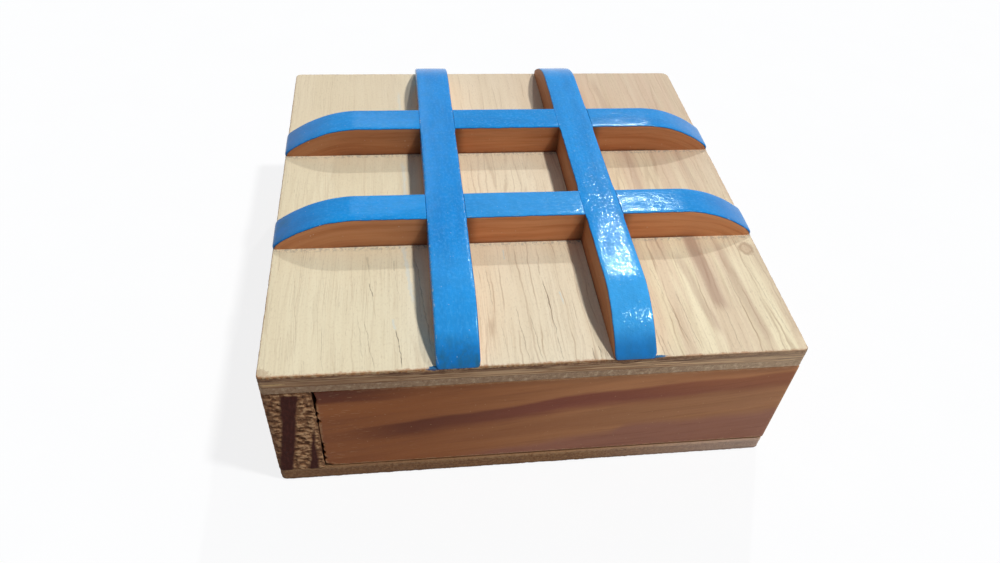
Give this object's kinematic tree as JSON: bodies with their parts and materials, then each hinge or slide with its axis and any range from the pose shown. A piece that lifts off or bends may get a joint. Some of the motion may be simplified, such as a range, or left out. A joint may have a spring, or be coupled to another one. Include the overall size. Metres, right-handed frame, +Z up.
{
  "type": "tic-tac-toe board",
  "caption": "Square wooden tic-tac-toe board made as a shallow box, with raised painted bars between the cells and a swing-out front over the stored markers.",
  "frame": {"origin": "middle of the underside of the bottom sheet", "axes": "+X to the right of a player who faces the swinging front, +Y to the back, +Z up"},
  "size_m": [0.12, 0.12, 0.0477],
  "materials": {
    "pale_plywood": "thin clear varnish",
    "bottom_sheet": "stained plywood",
    "wall_pine": "stained, rough end grain",
    "varnished_pine": "stained and varnished",
    "blue_bar": "glossy blue top, brown sides",
    "blue_marker": "glossy blue paint",
    "plain_marker": "clear varnish",
    "steel": "bright steel wire"
  },
  "bodies": {
    "box": {"top_panel": "pale_plywood", "bottom_panel": "bottom_sheet", "left_wall": "wall_pine", "right_wall": "wall_pine", "back_wall": "wall_pine", "door_stop": "wall_pine", "door_pin_upper": "steel", "door_pin_lower": "steel", "long_bar_left": "blue_bar", "long_bar_right": "blue_bar", "cross_bar_front": "blue_bar", "cross_bar_back": "blue_bar", "bottom_brads": "steel", "corner_brads": "steel", "cross_marker_1": "blue_marker", "cross_marker_2": "blue_marker", "cross_marker_3": "blue_marker", "cross_marker_4": "blue_marker", "cross_marker_5": "blue_marker", "nought_marker_1": "plain_marker", "nought_marker_2": "plain_marker", "nought_marker_3": "plain_marker", "nought_marker_4": "plain_marker", "nought_marker_5": "plain_marker"},
    "door": {"front_door": "varnished_pine"}
  },
  "joints": [
    {"name": "door_swing", "type": "hinge", "parent": "box", "child": "door", "pos_m": [0.05475, -0.05425, 0.01875], "axis": [0, 0, 1], "range_deg": [0, 95]}
  ]
}
